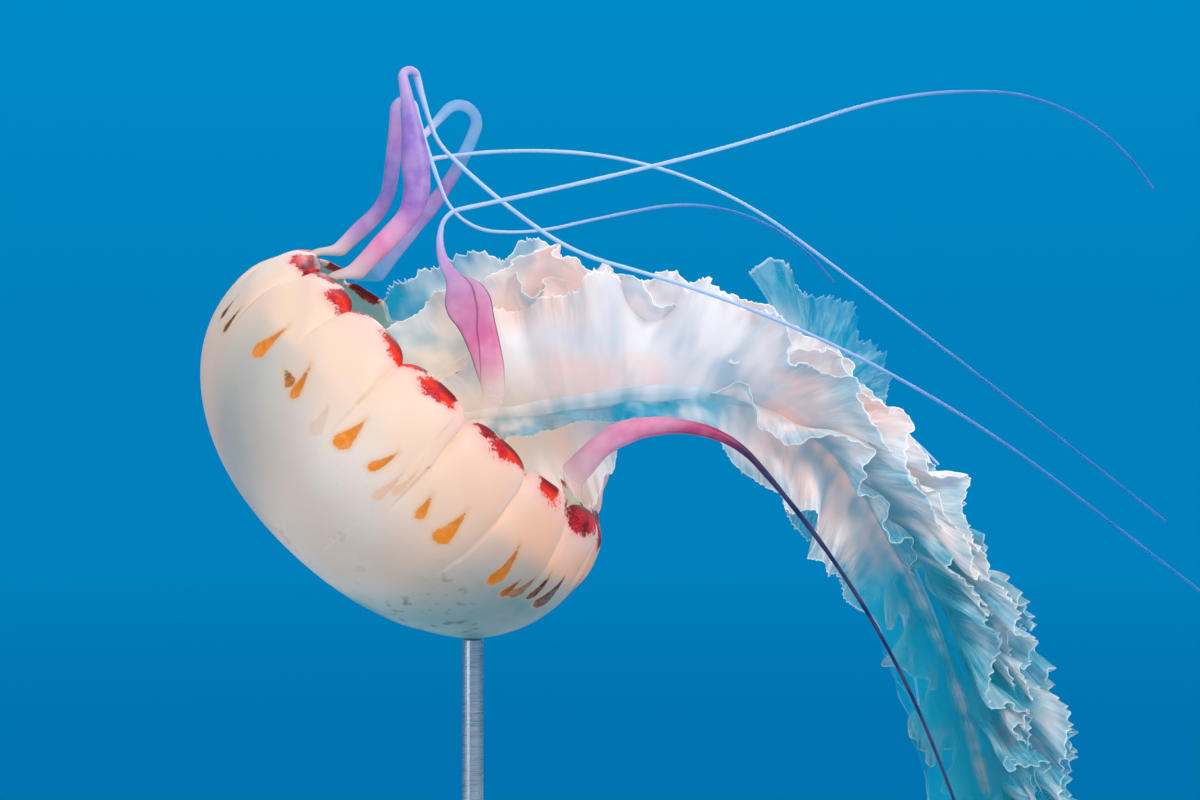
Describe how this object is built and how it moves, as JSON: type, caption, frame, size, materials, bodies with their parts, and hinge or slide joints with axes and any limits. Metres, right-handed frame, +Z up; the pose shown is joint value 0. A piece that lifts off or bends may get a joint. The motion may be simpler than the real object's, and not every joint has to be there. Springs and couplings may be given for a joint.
{
  "type": "sea nettle jellyfish",
  "caption": "Life-size display model of a swimming sea nettle jellyfish: leaning domed bell, frilled oral arms, trailing tentacles, on a wooden base with rods.",
  "frame": {"origin": "centre of the stand base's underside", "axes": "+Z up, +X from the bell towards the trailing arms, +Y away from the side that the bell's mouth is turned to"},
  "size_m": [0.3912, 0.1739, 0.3834],
  "materials": {
    "bell": "wet, milky, translucent jelly, cream to pale teal, with orange-brown wedge marks",
    "lappets": "wet milky jelly with crimson and maroon patches",
    "manubrium": "wet, milky, pinkish white jelly",
    "oral_arms": "thin, translucent, pinkish white frills, teal towards the ends",
    "tentacles": "wet pink and lilac jelly, pale blue in the thin lengths",
    "stand_wood": "dark stained hardwood with a satin oil finish",
    "stand_steel": "brushed stainless steel rod"
  },
  "bodies": {
    "root": {"bell_crown": "bell", "bell_lappets_1": "lappets", "bell_lappets_2": "lappets", "bell_lappets_3": "lappets", "bell_lappets_4": "lappets", "bell_lappets_5": "lappets", "bell_lappets_6": "lappets", "bell_lappets_7": "lappets", "bell_lappets_8": "lappets", "manubrium": "manubrium", "oral_arm_front_upper_1": "oral_arms", "oral_arm_front_upper_2": "oral_arms", "oral_arm_front_upper_3": "oral_arms", "oral_arm_back_upper_1": "oral_arms", "oral_arm_back_upper_2": "oral_arms", "oral_arm_back_upper_3": "oral_arms", "oral_arm_back_lower_1": "oral_arms", "oral_arm_back_lower_2": "oral_arms", "oral_arm_back_lower_3": "oral_arms", "oral_arm_front_lower_1": "oral_arms", "oral_arm_front_lower_2": "oral_arms", "oral_arm_front_lower_3": "oral_arms", "tentacle_1_1": "tentacles", "tentacle_1_2": "tentacles", "tentacle_1_3": "tentacles", "tentacle_1_4": "tentacles", "tentacle_2_1": "tentacles", "tentacle_2_2": "tentacles", "tentacle_2_3": "tentacles", "tentacle_2_4": "tentacles", "tentacle_3_1": "tentacles", "tentacle_3_2": "tentacles", "tentacle_3_3": "tentacles", "tentacle_3_4": "tentacles", "tentacle_4_1": "tentacles", "tentacle_4_2": "tentacles", "tentacle_4_3": "tentacles", "tentacle_4_4": "tentacles", "tentacle_5_1": "tentacles", "tentacle_5_2": "tentacles", "tentacle_5_3": "tentacles", "tentacle_5_4": "tentacles", "tentacle_6_1": "tentacles", "tentacle_6_2": "tentacles", "tentacle_6_3": "tentacles", "tentacle_7_1": "tentacles", "tentacle_7_2": "tentacles", "tentacle_7_3": "tentacles", "tentacle_8_1": "tentacles", "tentacle_8_2": "tentacles", "tentacle_8_3": "tentacles", "stand_base": "stand_wood", "stand_rod_bell": "stand_steel", "stand_rod_arms": "stand_steel"}
  },
  "joints": []
}
